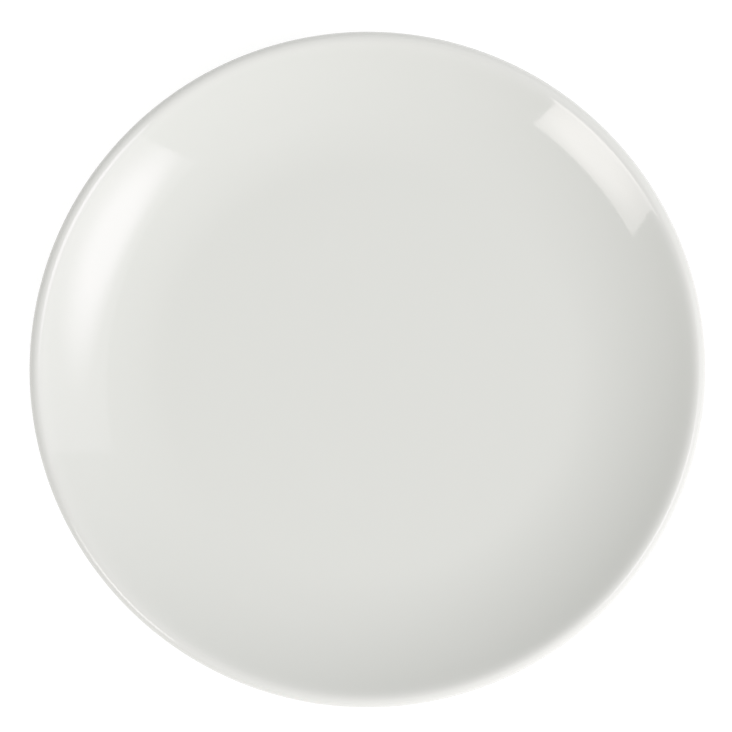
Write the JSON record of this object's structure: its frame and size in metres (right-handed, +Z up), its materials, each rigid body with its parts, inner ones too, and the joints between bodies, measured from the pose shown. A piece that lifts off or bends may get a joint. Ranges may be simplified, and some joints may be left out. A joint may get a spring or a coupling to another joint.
{
  "type": "coupe dinner plate",
  "caption": "Round white porcelain coupe plate: a level well runs in one curve up a rimless wall to a soft rolled edge, on a bare foot ring; it holds a meal and stacks.",
  "frame": {"origin": "on the plate's axis, in the plane of the foot ring's bearing face", "axes": "+Z up along the plate's axis; X and Y in the table's plane, with +X to the picture's right and +Y to its top"},
  "size_m": [0.28, 0.28, 0.025],
  "materials": {
    "porcelain": "matte fired porcelain, seen only where the foot ring was wiped bare",
    "glaze": "gloss white glaze over the face, the rolled edge and the underside",
    "foot_well_glaze": "gloss white glaze in the recess inside the foot ring"
  },
  "bodies": {
    "root": {"porcelain_body": "porcelain", "glaze_coat": "glaze", "foot_well_glaze": "foot_well_glaze"}
  },
  "joints": []
}
